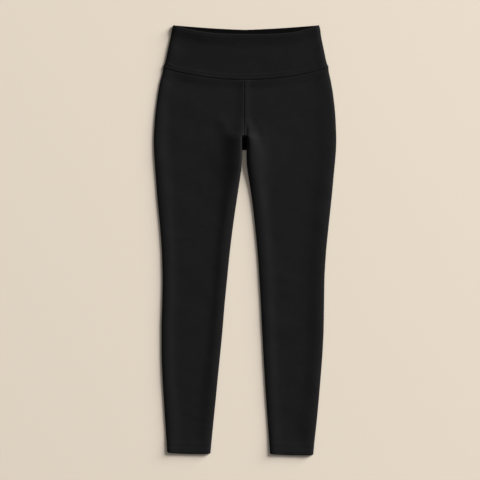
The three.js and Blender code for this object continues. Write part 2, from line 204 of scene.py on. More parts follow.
# Distances from the middle to the edges of the garment as it lies, by the distance down from the waist.
# The centre seam lies a little towards the right leg.
OUTLINE_COLUMNS = ("down", "rightOuter", "rightInner", "leftInner", "leftOuter")
OUTLINE = (
    (0, 167.5, 2.3, -2.3, 172.5),
    (6, 169.5, 2.3, -2.3, 174.7),
    (28, 173.6, 2.3, -2.3, 178),
    (51, 178.5, 2.3, -2.3, 182.7),
    (90, 187.2, 2.3, -2.3, 191.4),
    (97, 190.6, 2.3, -2.3, 194.6),
    (105, 191.2, 2.3, -2.3, 195.1),
    (129, 197.3, 2.3, -2.3, 200),
    (166, 204, 2.3, -2.3, 206.2),
    (217, 210, 2.3, -2.3, 211.2),
    (257, 212.6, 2.3, -2.3, 212.9),
    (259.6, 212.7, 7.2, 5.2, 213),
    (268, 212.9, 7.2, 4.6, 213),
    (291, 212.5, 6.7, 3.2, 212.3),
    (315, 211.1, 7.2, 3.5, 210.4),
    (333, 209.8, 8.3, 5, 208.7),
    (352, 208.3, 10.7, 7.8, 206.9),
    (408, 204, 19.2, 16.4, 201.6),
    (483, 197.1, 29.8, 24.9, 193.6),
    (539, 193.6, 36.3, 30.1, 188.4),
    (595, 192.3, 41.9, 33.7, 185.4),
    (651, 193.3, 47.4, 36.9, 184.5),
    (707, 194.8, 52, 39.7, 183.6),
    (762, 194.8, 57.2, 42.5, 181),
    (818, 192.8, 62.9, 45.7, 176.8),
    (874, 189.5, 68.3, 49.3, 172.1),
    (930, 185.8, 74, 53.2, 166.7),
    (970, 183.2, 78, 56.1, 162.1),
    (1002, 181.4, 80.8, 58.3, 159.2),
)

# The cloth's folded edges, by the distance down from the waist. An edge's crest lies a nose in from it,
# stands a rise above the middle of the leg, and sinks to the middle over a fall. Roll is 0 on a flat seam
# and 1 on an edge that is folded over.
OUTER_COLUMNS = ("down", "rise", "nose", "rightFall", "leftFall")
OUTER_EDGES = (
    (100, 1.1, 10, 12, 16),
    (120, 2.1, 9, 13, 22),
    (207, 2.6, 10, 15, 28),
    (257, 2.8, 11, 16, 28),
    (315, 3, 13, 16, 27),
    (382, 3.1, 15, 16, 24),
    (482, 3.1, 14, 15, 21),
    (600, 3.1, 12, 14, 20),
    (760, 3.1, 12, 14, 20),
    (950, 2.8, 12, 17, 22),
    (984, 1.2, 10, 14, 15),
)
INNER_COLUMNS = (
    "down",
    "rightRise",
    "leftRise",
    "rightNose",
    "leftNose",
    "rightFall",
    "leftFall",
    "roll",
)
INNER_EDGES = (
    (100, 0.5, 0.5, 3.4, 3.4, 8, 8, 0),
    (120, 1.3, 1.3, 3.4, 3.4, 9, 9, 0),
    (207, 1.5, 1.5, 3.4, 3.4, 13, 10, 0),
    (245, 6.4, 5.4, 5.5, 6.8, 24, 15, 0),
    (257, 10, 9, 5, 8.2, 26, 17, 0.15),
    (267, 12, 11.6, 4.8, 9.6, 27, 20, 1),
    (315, 10.6, 10.6, 6.8, 13.5, 28, 27, 1),
    (350, 7.8, 7.6, 9.6, 15.2, 23, 22, 1),
    (382, 5.5, 5.2, 14, 16, 18, 16, 1),
    (482, 3.6, 3.6, 16, 16, 14, 15, 1),
    (600, 3.2, 3.2, 14, 14, 13, 15, 1),
    (760, 2.9, 2.9, 13, 13, 14, 14, 1),
    (950, 2.6, 2.6, 12, 12, 16, 14, 1),
    (984, 1.1, 1.1, 10, 10, 13, 13, 1),
)

# Soft folds of the solids' front: the middle of each crest, its turn from across the garment in degrees,
# and how long, wide and high it is. A negative height is a trough.
FOLD_COLUMNS = ("x", "down", "turn", "length", "width", "height")
FRONT_FOLDS = (
    (-45, 243, -66, 30, 13, 1.6),
    (26, 236, 68, 26, 9, 0.8),
    (-66, 318, -70, 52, 13, 0.8),
    (74, 320, 66, 60, 14, 0.7),
    (-118, 562, 8, 46, 11, 0.6),
    (104, 592, -9, 44, 12, 0.6),
    (-126, 902, -12, 30, 9, 0.5),
    (112, 886, 10, 28, 10, 0.5),
)

# Creases and swells over the solids' own folds, in the same columns, on the legs and on the waistband
FINE_FOLDS = (
    (-134, 504, 3, 30, 3.2, -0.3),
    (-136, 495, 6, 26, 5.0, 0.4),
    (-168, 494, 20, 12, 6.0, 0.35),
    (-103, 474, -4, 18, 3.5, -0.25),
    (-98, 825, 4, 14, 3.5, -0.3),
    (-98, 925, -8, 13, 4.0, -0.35),
    (-104, 917, -10, 16, 5.0, 0.3),
    (-150, 404, -18, 34, 6.0, 0.3),
    (-88, 388, 24, 30, 5.0, -0.25),
    (-120, 662, 10, 28, 6.0, 0.25),
    (50, 491, 62, 20, 5.0, 0.5),
    (58, 480, 52, 14, 4.0, -0.35),
    (105, 480, 5, 18, 4.0, -0.28),
    (112, 470, 8, 22, 5.0, 0.28),
    (96, 354, -22, 32, 6.0, 0.3),
    (150, 404, 14, 28, 5.0, -0.25),
    (80, 944, 38, 14, 4.0, -0.3),
    (86, 937, 34, 16, 5.0, 0.3),
    (120, 702, -12, 30, 6.0, 0.25),
    (44, 264, -80, 20, 6.0, 0.3),
    (43, 264, 86, 25, 14, 1.6),
    (66, 270, 86, 36, 24, 1.0),
    (3.4, 249.5, 87, 16, 2.8, -2.2),
    (-172, 130, -30, 16, 4.0, -0.4),
    (178, 126, 34, 16, 4.0, 0.4),
)
WAIST_FOLDS = (
    (168, 48, 35, 9, 5, -0.7),
    (175, 52, 40, 9, 4, 0.5),
    (166, 92, 14, 16, 2.6, 0.45),
    (160, 87, 12, 18, 2.4, -0.35),
    (-172, 90, -16, 12, 3.0, 0.4),
    (-160, 40, -10, 26, 7, -0.3),
    (-112, 3, 2, 62, 20, 1.0),
    (-163, 70, 82, 30, 20, 0.9),
    (98, 72, 86, 36, 36, 0.8),
    (-60, 60, 4, 40, 9, 0.25),
    (70, 52, -6, 38, 9, 0.25),
)

# The cloth is nowhere quite flat, but lies calmer near its folded ends
UNDULATION = {"broad": 0.2, "small": 0.035}
BAND_UNDULATION = 0.8
CALM_WITHIN = {"hem": 8, "waist": 6}

# Rows of stitches: the distance in from the edge that they follow, and the groove that they draw
WAIST_ROWS = (6.3, 11)
YOKE_ROW = 7.4
HEM_ROWS = (18.7, 24.5)
ROW_GROOVE = {"height": -0.32, "reach": 0.9}
ROW_DEPTH = {"waist": 0.8, "yoke": 0.7, "hem": 0.9}
STITCH_LENGTH = 2.5
STITCH_STEP = 3.2
ROW_MARGIN = {"waistband": 3.5, "leg": 3.0}  # between a row's ends and the panel's sides
THREAD_RADIUS = 0.2
THREAD_SIDES = 6
THREAD_PROFILE = ((0.0, 0.35), (0.12, 0.85), (0.3, 1.0), (0.7, 1.0), (0.88, 0.85), (1.0, 0.35))
THREAD_LIFT = {"front": 0.35, "back": 1.1}  # of a thread's middle above the outer face, in radii
THREAD_SINK = {"depth": 0.9, "power": 3}  # how far a thread's ends go into the cloth, in radii

# Seams and rows of stitches draw the cloth into short waves: how high they are, and how far they reach
PUCKERS = {
    "above_yoke": (0.15, 9),
    "below_yoke": (0.16, 10),
    "centre": (0.12, 7),
    "waist": (0.1, 7),
    "hem": (0.12, 9),
}
PUCKER_CHANGE = {"mean": 0.6, "swing": 0.4, "across": 31, "along": 47}
GUSSET_PUCKER = 0.12

# Sewn layers: the allowances that lift the cloth beside a seam, and how it is pinched between two rows
ALLOWANCE = {"width": 12.5, "height": 0.45, "fade": 2.2}
CENTRE_ALLOWANCE = {"width": 4.4, "height": 0.12, "fade": 0.5}
WAIST_PINCH = {"height": 0.18, "reach": 1.6}
HEM_PINCH = {"height": 0.07, "reach": 2.0}
HEM_BULGE = {"height": 0.2, "above": 10, "reach": 4.5}
HEM_EASE = {"start": 18, "end": 54, "share": 0.75}

# At a seam the pressed cloth of one side stands proud and the other turns down sharply
SEAM_LIP = {"height": 0.35, "reach": 3}
SHARP_NOSE = 0.62
CENTRE_FADE = 20  # above the crotch, where the two legs part

# The fine meshes' grid, in millimetres and degrees
NOSE_DEGREES = {"front": 9, "back": 15}
FALL_POINTS = {"front": 9, "back": 3}
FALL_REACH = 2.1
ROW_STEP = {"front": 3.4, "back": 7}
ACROSS_STEP = {"front": 3.8, "back": 8}
SIDES_TAKE = 60  # the part of a section that its noses and falls take up
LEAST_STEPS = 4
HEM_STEP = {"front": 0.9, "back": 3.0}
HEM_FINE = (2.2, 30)  # up from the hem
CROTCH_STEP = {"front": 1.0, "back": 2.0}
CROTCH_FINE = (255, 294)
CROTCH_CLEAR = (253.5, 295)  # no other rows in here
LEG_SEAM_ROWS = (0.9, 1.5, 2.2, 3.2, 4.6)  # down from the waistband's seam
BAND_STEP = {"front": 0.8, "back": 3.0}
BAND_EDGE_FINE = (2.0, 15)  # down from the waist
BAND_SEAM_FINE = (0.9, 18)  # up from the waistband's seam
BODY_CLEAR = {"start": 2, "hem": 1, "seam": 1.5}  # between a panel's plain rows and its fine ones
GUSSET_ROW_STEP = 1.0
GUSSET_START = 2  # below the end of the centre seam
GUSSET_POINTS = 19
SHARP_FROM = 50

# How a wall's ends are rounded, at a seam and along a folded edge: the radius, and the least share of
# the wall's thickness
SEAM_END = {"radius": 0.5, "least": 0.5}
FOLDED_END = {"radius": DOUBLED / 2, "least": 0.22}
END_ANGLES = (0, 18, 36, 54, 72, 90)


def smooth(low, high, value):
    t = np.clip((np.asarray(value, float) - low) / (high - low), 0, 1)
    return t * t * (3 - 2 * t)


class Curves:
    """The columns of a table as curves over the distance down that never overshoot its rows."""

    def __init__(self, columns, rows):
        table = np.array(rows, float)
        self.down = table[:, 0]
        self.values = {name: table[:, k] for k, name in enumerate(columns)}
        self.tangents = {name: self.tangent(values) for name, values in self.values.items()}

    def tangent(self, values):
        slope = np.diff(values) / np.diff(self.down)
        tangent = np.zeros(len(values))
        tangent[0], tangent[-1] = slope[0], slope[-1]
        for k in range(1, len(slope)):
            before, after = slope[k - 1], slope[k]
            if before * after > 0:
                tangent[k] = 2 * before * after / (before + after)
        return tangent

    def read(self, name, down):
        i = np.clip(np.searchsorted(self.down, down, side="right") - 1, 0, len(self.down) - 2)
        span = self.down[i + 1] - self.down[i]
        t = np.clip((down - self.down[i]) / span, 0, 1)
        a, b = self.values[name][i], self.values[name][i + 1]
        u, v = self.tangents[name][i] * span, self.tangents[name][i + 1] * span
        return float(a + t * (u + t * (3 * (b - a) - 2 * u - v + t * (2 * (a - b) + u + v))))


outline = Curves(OUTLINE_COLUMNS, OUTLINE)
outer_edges = Curves(OUTER_COLUMNS, OUTER_EDGES)
inner_edges = Curves(INNER_COLUMNS, INNER_EDGES)


def folds(table, x, down):
    total = np.zeros_like(np.asarray(x, float))
    for values in table:
        fold = dict(zip(FOLD_COLUMNS, values))
        angle = math.radians(fold["turn"])
        across, along = x - fold["x"], fold["down"] - down
        on_crest = (across * math.cos(angle) + along * math.sin(angle)) / fold["length"]
        off_crest = (along * math.cos(angle) - across * math.sin(angle)) / fold["width"]
        total = total + fold["height"] * np.exp(-on_crest * on_crest - off_crest * off_crest)
    return total


def waves(seed, count, shortest, longest):
    """Plane waves with fixed phases."""
    rng = np.random.default_rng(seed)
    length = rng.uniform(shortest, longest, count)
    angle = rng.uniform(0, math.pi, count)
    phase = rng.uniform(0, 2 * math.pi, count)

    def height(x, down):
        total = 0
        for size, turn, start in zip(length, angle, phase):
            place = x * math.cos(turn) + down * math.sin(turn)
            total = total + np.sin(2 * math.pi * place / size + start)
        return total / math.sqrt(count)

    return height


broad_waves = waves(seed=11, count=9, shortest=70, longest=170)
small_waves = waves(seed=23, count=12, shortest=16, longest=44)
puckers = waves(seed=37, count=7, shortest=5.5, longest=13)


def undulation(x, down):
    return UNDULATION["broad"] * broad_waves(x, down) + UNDULATION["small"] * small_waves(x, down)


def seam_puckers(x, down, distance, seam):
    """Short waves along a seam or a row of stitches, which draws the cloth in unevenly."""
    height, reach = PUCKERS[seam]
    place = x / PUCKER_CHANGE["across"] + down / PUCKER_CHANGE["along"]
    uneven = PUCKER_CHANGE["mean"] + PUCKER_CHANGE["swing"] * np.sin(place)
    return height * uneven * puckers(x, down) * np.exp(-((distance / reach) ** 2))


def ridge(distance, size):
    """A rounded ridge along distance 0, or a groove where its height is negative."""
    return size["height"] * np.exp(-((distance / size["reach"]) ** 2))


def lifted(distance, allowance):
    """How far a seam's allowance lifts the cloth over it."""
    low, high = allowance["width"] - allowance["fade"], allowance["width"] + allowance["fade"]
    return allowance["height"] * (1 - smooth(low, high, distance))


def dip(depth, share, power=2):
    return depth * (1 - np.abs(share) ** power)


def nose_share(distance, nose):
    distance = np.asarray(distance, float)
    inside = np.sqrt(np.clip(1 - (1 - np.minimum(distance, nose) / nose) ** 2, 0, 1))
    return np.where(distance < nose, inside, 1.0)


def crest(distance, edge):
    return np.exp(-((np.maximum(distance - edge["nose"], 0) / edge["fall"]) ** 2))


def edge_drop(distance, edge):
    return edge["drop"] * (1 - float(nose_share(distance, edge["nose"])))


def hem_wall(above):
    return DOUBLED - CLOTH * float(smooth(HEM_DEPTH, HEM_DEPTH + HEM_RAMP, above))


def lying_height(down, hem_down):
    """The height of the front's outer face where it lies on the back, apart from folded edges and folds."""
    above = hem_down - down
    yoke = (DOUBLED - CLOTH) * 2 * (1 - float(smooth(0, YOKE_RAMP, down - YOKE_DOWN)))
    mouth = HEM_AIR * (1 - float(smooth(0, HEM_DEPTH, above)))
    return 2 * hem_wall(above) + AIR + yoke + mouth


def end_insets(end):
    return [end["radius"] * (1 - math.cos(math.radians(angle))) for angle in END_ANGLES]


class Panel:
    """One sewn piece of cloth: its outer face's height and place at any point, and its wall."""

    def __init__(self, face):
        self.face = face
        self.is_front = face == "front"
        self.half_gap = DRAWN_GAP / 2 if self.is_front else -DRAWN_GAP / 2

    def outer(self, x, row):
        """The outer face's height, how much of a nose it has climbed, and whether the low side is nearer."""
        low, high = row["low"], row["high"]
        x = np.clip(np.asarray(x, float), low["x"], high["x"])
        from_low, from_high = x - low["x"], high["x"] - x
        near_low = from_low < from_high
        share = np.where(
            near_low, nose_share(from_low, low["nose"]), nose_share(from_high, high["nose"])
        )
        edge_height = np.where(near_low, low["height"], high["height"])
        full = row["height"](x) + low["rise"] * crest(from_low, low)
        full = full + high["rise"] * crest(from_high, high)
        return edge_height + (full - edge_height) * share, share, near_low

    def point(self, x, row, lift):
        z, _, _ = self.outer(x, row)
        return np.array((x, float(row["y"](x)), float(z) + lift))


class Leg(Panel):
    def __init__(self, side, face):
        super().__init__(face)
        self.side = side
        self.sign = -1 if side == "right" else 1
        self.hem_down = HEM_DOWN[side]

    def row(self, down):
        down = max(down, YOKE_DOWN + DRAWN_GAP / 2)
        above = self.hem_down - down
        lying = lying_height(down, self.hem_down)
        inset = CORNER["inset"] * (1 - float(smooth(0, CORNER["length"], above)))
        outer_x = outline.read(f"{self.side}Outer", down) - inset
        inner_x = outline.read(f"{self.side}Inner", down) + inset + DRAWN_GAP / 2
        seam_x, parted_x = (outline.read(f"{self.side}Inner", at) for at in (YOKE_DOWN, GUSSET_END))
        parting = float(smooth(CREASE_START, GUSSET_END, down))
        crease_x = seam_x + (parted_x - seam_x) * parting if down < GUSSET_END else inner_x
        inner_nose = inner_edges.read(f"{self.side}Nose", down) + crease_x - inner_x
        if self.side == "right":
            inner_nose = inner_nose * (1 - SHARP_NOSE * self.seam_share(down))
        groove_share = 1 - float(smooth(0, GROOVE_REACH["leg"], down - YOKE_DOWN))
        groove = SEAM_GROOVE[self.face] * groove_share

        def edge(rise, nose, fall, roll, x):
            seam_height = SEAM_SHARE * (lying + rise) + self.half_gap
            flat_height = CENTRE_GROOVE["back"]
            if self.is_front:
                flat_height = lying + rise - CENTRE_GROOVE["front"] - groove
            return {
                "x": self.sign * x,
                "nose": nose if self.is_front else min(nose, BACK_NOSE),
                "fall": fall,
                "roll": roll,
                "rise": rise if self.is_front else 0,
                "height": flat_height + (seam_height - flat_height) * roll,
            }

        fall, rise = f"{self.side}Fall", f"{self.side}Rise"
        outer_sizes = [outer_edges.read(name, down) for name in ("rise", "nose", fall)]
        outer = edge(*outer_sizes, 1, outer_x)
        inner_rise, inner_fall, roll = (inner_edges.read(name, down) for name in (rise, fall, "roll"))
        inner = edge(inner_rise, inner_nose, inner_fall, roll, inner_x)
        low, high = (outer, inner) if self.side == "right" else (inner, outer)
        middle, half = (low["x"] + high["x"]) / 2, (high["x"] - low["x"]) / 2
        yoke_share = 1 - float(smooth(YOKE_DOWN, DIP_FADE, down))
        hem_share = 1 - float(smooth(0, HEM_SAG_UP, above))

        def height(x):
            if not self.is_front:
                return np.full_like(x, groove)
            base = lying - groove - edge_drop(above, HEM_EDGE)
            return base + folds(FRONT_FOLDS, x, down) + self.relief(x, down, above, inner_x)

        def y(x):
            yoke_dip = dip(DIP[self.face]["yoke"], x / outer_x) * yoke_share
            place = (x - middle) / half
            hem_dip = (dip(HEM_SAG, place) + HEM_TILT[self.side] * place) * hem_share
            return MIDDLE_DOWN - down - yoke_dip - hem_dip

        return {"low": low, "high": high, "height": height, "y": y, "wall": hem_wall(above)}

    def relief(self, x, down, above, inner_x):
        calm = float(smooth(0, CALM_WITHIN["hem"], above))
        total = calm * (undulation(x, down) + folds(FINE_FOLDS, x, down))
        total = total + seam_puckers(x, down, down - YOKE_DOWN, "below_yoke")
        from_seam = self.sign * x - inner_x
        is_right = self.side == "right"
        pressed = lifted(from_seam, CENTRE_ALLOWANCE) if is_right else ridge(from_seam, SEAM_LIP)
        on_seam = seam_puckers(x, down, from_seam, "centre") + pressed
        total = total + self.seam_share(down) * on_seam
        for height in HEM_ROWS:
            total = total + ROW_DEPTH["hem"] * ridge(above - height, ROW_GROOVE)
        from_rows = above - sum(HEM_ROWS) / 2
        total = total + seam_puckers(x, down, from_rows, "hem")
        total = total + self.hem_ease(above)
        return total + ridge(from_rows, HEM_PINCH) + ridge(above - HEM_BULGE["above"], HEM_BULGE)

    def hem_ease(self, above):
        """The single cloth lies off the turned-up hem in a longer slope than the solid's."""
        step = smooth(HEM_DEPTH, HEM_DEPTH + HEM_RAMP, above)
        slope = smooth(HEM_EASE["start"], HEM_EASE["end"], above)
        return HEM_EASE["share"] * 2 * CLOTH * float(step - slope)

    def seam_share(self, down):
        """How much of the centre seam is left where the two legs part."""
        return 1 - float(smooth(CROTCH_DOWN - CENTRE_FADE, CROTCH_DOWN, down))

    def rows(self):
        start, end = YOKE_DOWN + DRAWN_GAP / 2, self.hem_down
        first = [start + inset for inset in end_insets(SEAM_END)]
        last = [end - inset for inset in end_insets(FOLDED_END)]
        fine = [start + below for below in LEG_SEAM_ROWS]
        hem = [end - above for above in np.arange(*HEM_FINE, HEM_STEP[self.face])]
        crotch = list(np.arange(*CROTCH_FINE, CROTCH_STEP[self.face]))
        body_start, body_end = fine[-1] + BODY_CLEAR["start"], min(hem) - BODY_CLEAR["hem"]
        body = np.arange(body_start, body_end, ROW_STEP[self.face])
        body = [down for down in body if not CROTCH_CLEAR[0] < down < CROTCH_CLEAR[1]]
        return sorted(first + fine + body + crotch + hem + last)

    def nearer_end(self, down):
        to_seam, to_hem = down - YOKE_DOWN - DRAWN_GAP / 2, self.hem_down - down
        return (to_seam, SEAM_END) if to_seam < to_hem else (to_hem, FOLDED_END)


class Waistband(Panel):
    def row(self, down):
        down = min(max(down, 0), YOKE_DOWN - DRAWN_GAP / 2)
        share = down / YOKE_DOWN
        lying = 2 * DOUBLED + AIR + WAIST_AIR * (1 - float(smooth(0, WAIST_LIFT, down)))
        rise = WAIST_RISE["top"] + (WAIST_RISE["seam"] - WAIST_RISE["top"]) * share
        groove_share = 1 - float(smooth(0, GROOVE_REACH["waistband"], YOKE_DOWN - down))
        groove = SEAM_GROOVE[self.face] * groove_share
        seam_height = SEAM_SHARE * (lying + rise) + self.half_gap
        right_x, left_x = outline.read("rightOuter", down), outline.read("leftOuter", down)

        def edge(x):
            return {
                "x": x,
                "nose": WAIST_NOSE if self.is_front else BACK_NOSE,
                "fall": WAIST_FALL,
                "roll": 1,
                "rise": rise if self.is_front else 0,
                "height": seam_height,
            }

        dips, powers = DIP[self.face], DIP_POWER[self.face]
        depth = dips["waist"] * (1 - share) + dips["yoke"] * share
        right_power, left_power = (powers[half] * (1 - share) + 2 * share for half in ("right", "left"))

        def height(x):
            if not self.is_front:
                return np.full_like(x, groove)
            return lying - groove - edge_drop(down, TOP_EDGE) + self.relief(x, down)

        def y(x):
            right_dip = dip(depth, x / right_x, right_power)
            left_dip = dip(depth, x / left_x, left_power)
            return MIDDLE_DOWN - down - np.where(x < 0, right_dip, left_dip)

        return {
            "low": edge(-right_x),
            "high": edge(left_x),
            "height": height,
            "y": y,
            "wall": DOUBLED - groove,
        }

    def relief(self, x, down):
        up = YOKE_DOWN - down
        calm = float(smooth(0, CALM_WITHIN["waist"], down))
        total = calm * undulation(x, down) * BAND_UNDULATION + folds(WAIST_FOLDS, x, down)
        total = total + seam_puckers(x, down, up, "above_yoke") + ridge(up, SEAM_LIP)
        total = total + lifted(up, ALLOWANCE)
        total = total + ROW_DEPTH["yoke"] * ridge(up - YOKE_ROW, ROW_GROOVE)
        for depth in WAIST_ROWS:
            total = total + ROW_DEPTH["waist"] * ridge(down - depth, ROW_GROOVE)
        from_rows = down - sum(WAIST_ROWS) / 2
        total = total + seam_puckers(x, down, from_rows, "waist")
        return total + ridge(from_rows, WAIST_PINCH)

    def rows(self):
        end = YOKE_DOWN - DRAWN_GAP / 2
        first = end_insets(FOLDED_END)
        last = [end - inset for inset in end_insets(SEAM_END)]
        edge = list(np.arange(*BAND_EDGE_FINE, BAND_STEP[self.face]))
        seam = [end - up for up in np.arange(*BAND_SEAM_FINE, BAND_STEP[self.face])]
        body_start, body_end = max(edge) + BODY_CLEAR["start"], min(seam) - BODY_CLEAR["seam"]
        body = list(np.arange(body_start, body_end, ROW_STEP[self.face]))
        return sorted(first + edge + body + seam + last)

    def nearer_end(self, down):
        to_edge, to_seam = down, YOKE_DOWN - DRAWN_GAP / 2 - down
        return (to_edge, FOLDED_END) if to_edge < to_seam else (to_seam, SEAM_END)


def places_across(low, high, noses, falls, steps):
    def insets(edge):
        return np.concatenate([edge["nose"] * noses, edge["nose"] + falls * edge["fall"]])

    from_low, from_high = low["x"] + insets(low), high["x"] - insets(high)
    middle = np.linspace(from_low[-1], from_high[-1], steps + 1)[1:-1]
    return np.concatenate([from_low, middle, from_high[::-1]])


def wall_sections(panel):
    """The points of a panel's upper and lower face, a row for each of its sections."""
    rows = panel.rows()
    middle_row = panel.row(rows[len(rows) // 2])
    width = middle_row["high"]["x"] - middle_row["low"]["x"] - SIDES_TAKE
    steps = max(LEAST_STEPS, int(width / ACROSS_STEP[panel.face]))
    noses = 1 - np.cos(np.radians(np.arange(0, 91, NOSE_DEGREES[panel.face])))
    falls = np.linspace(0, FALL_REACH, FALL_POINTS[panel.face] + 1)[1:]
    upper, lower = [], []
    for down in rows:
        row = panel.row(down)
        x = places_across(row["low"], row["high"], noses, falls, steps)
        outer, share, near_low = panel.outer(x, row)
        roll = np.where(near_low, row["low"]["roll"], row["high"]["roll"])
        # The wall's thickness is upright where the cloth lies flat, and level at the rim of a fold
        lean = math.pi / 2 - roll * np.arccos(np.clip(share, -1, 1))
        y = row["y"](x) * np.ones_like(x)
        inward = np.where(near_low, 1, -1) * row["wall"] * np.cos(lean)
        through = row["wall"] * np.sin(lean) * (-1 if panel.is_front else 1)
        outer_points = np.stack([x, y, outer], axis=1)
        inner_points = np.stack([x + inward, y, outer + through], axis=1)
        distance, end = panel.nearer_end(down)
        if distance < end["radius"]:
            round_share = math.sqrt(max(1 - (1 - max(distance, 0) / end["radius"]) ** 2, 0))
            thin = (1 - max(round_share, end["least"])) / 2
            shift = (inner_points - outer_points) * thin
            outer_points, inner_points = outer_points + shift, inner_points - shift
        upper.append(outer_points if panel.is_front else inner_points)
        lower.append(inner_points if panel.is_front else outer_points)
    return np.array(upper), np.array(lower)


def gusset_sections():
    across = np.linspace(-1, 1, GUSSET_POINTS)
    upper, lower = [], []
    for down in np.arange(CROTCH_DOWN + GUSSET_START, GUSSET_END + GUSSET_ROW_STEP / 2, GUSSET_ROW_STEP):
        low = -outline.read("rightInner", down) - DRAWN_GAP
        high = outline.read("leftInner", down) + DRAWN_GAP
        right, left = (
            SEAM_SHARE * (lying_height(down, LENGTH) + inner_edges.read(name, down))
            for name in ("rightRise", "leftRise")
        )
        nosing = CLOTH / 4 if down == GUSSET_END else CLOTH / 2
        sag = GUSSET_SAG["depth"] * float(smooth(CROTCH_DOWN, CROTCH_DOWN + GUSSET_SAG["reach"], down))
        x = (low + high) / 2 + across * (high - low) / 2
        z = (right + left) / 2 + across * (left - right) / 2 - dip(sag, across)
        z = z + GUSSET_PUCKER * puckers(x, down) * (1 - across * across)
        y = np.full_like(x, MIDDLE_DOWN - down)
        upper.append(np.stack([x, y, z + nosing], axis=1))
        lower.append(np.stack([x, y, z - nosing], axis=1))
    return np.array(upper), np.array(lower)


def put_in_scene(name, data):
    made = bpy.data.objects.new(name, data)
    bpy.context.scene.collection.objects.link(made)
    return made


def mesh_object(name, points, faces, sharp_from=None):
    """A smooth mesh from points in millimetres, with its sharp edges kept from an angle in degrees on."""
    mesh = bpy.data.meshes.new(name)
    mesh.from_pydata((points * MM).tolist(), [], faces)
    mesh.validate()
    mesh.shade_smooth()
    if sharp_from:
        mesh.set_sharp_from_angle(angle=math.radians(sharp_from))
    return put_in_scene(name, mesh)


def closed_wall(name, upper, lower):
    """A closed shell through the rows of its upper and its lower face."""
    rows, columns = upper.shape[:2]
    points = np.concatenate([upper.reshape(-1, 3), lower.reshape(-1, 3)])
    up = np.arange(rows * columns).reshape(rows, columns)
    down = up + rows * columns

    def quads(a, b, c, d):
        return np.stack([a.ravel(), b.ravel(), c.ravel(), d.ravel()], axis=1)

    faces = np.concatenate(
        [
            quads(up[:-1, :-1], up[1:, :-1], up[1:, 1:], up[:-1, 1:]),
            quads(down[:-1, :-1], down[:-1, 1:], down[1:, 1:], down[1:, :-1]),
            quads(up[:-1, 0], down[:-1, 0], down[1:, 0], up[1:, 0]),
            quads(up[:-1, -1], up[1:, -1], down[1:, -1], down[:-1, -1]),
            quads(up[0, :-1], up[0, 1:], down[0, 1:], down[0, :-1]),
            quads(up[-1, :-1], down[-1, :-1], down[-1, 1:], up[-1, 1:]),
        ]
    )
    return mesh_object(name, points, faces.tolist(), SHARP_FROM)


def stitch_row(panel, down, margin):
    """Pairs of points along one row of stitches across a panel."""
    row = panel.row(down)
    low, high = row["low"]["x"] + margin, row["high"]["x"] - margin
    count = int((high - low) / STITCH_STEP)
    spare = high - low - (count - 1) * STITCH_STEP - STITCH_LENGTH
    starts = low + spare / 2 + np.arange(count) * STITCH_STEP
    lift = THREAD_RADIUS * THREAD_LIFT[panel.face]
    return [(panel.point(x, row, lift), panel.point(x + STITCH_LENGTH, row, lift)) for x in starts]


def thread_mesh(name, pairs):
    """Short round-ended threads between pairs of points."""
    points, faces = [], []
    turns = np.linspace(0, 2 * math.pi, THREAD_SIDES, endpoint=False)
    for start, end in pairs:
        along = end - start
        along_unit = along / np.linalg.norm(along)
        side = np.cross(along_unit, (0.0, 0.0, 1.0))
        side = side / np.linalg.norm(side)
        rise = np.cross(side, along_unit)
        first = len(points)
        for place, girth in THREAD_PROFILE:
            from_middle = abs(2 * place - 1) ** THREAD_SINK["power"]
            sink = rise * THREAD_RADIUS * THREAD_SINK["depth"] * from_middle
            for turn in turns:
                ring = THREAD_RADIUS * girth * (math.cos(turn) * side + math.sin(turn) * rise)
                points.append(start + along * place + ring - sink)
        last = len(points) - THREAD_SIDES
        for ring in range(first, last, THREAD_SIDES):
            for k in range(THREAD_SIDES):
                a, b = ring + k, ring + (k + 1) % THREAD_SIDES
                faces.append([b, a, a + THREAD_SIDES, b + THREAD_SIDES])
        faces.append([first + k for k in range(THREAD_SIDES)])
        faces.append([last + k for k in reversed(range(THREAD_SIDES))])
    return mesh_object(name, np.array(points), faces)


# Materials: the knit's relief, how much wales and nap give to it, and how much the nap changes the tone
KNIT_HEIGHT = 0.12
WALE_SHARE = 0.6
NAP_SHARE = 0.9
NAP_CHANGE = 0.18


def set_inputs(made, **inputs):
    for name, value in inputs.items():
        made.inputs[name.replace("_", " ")].default_value = value


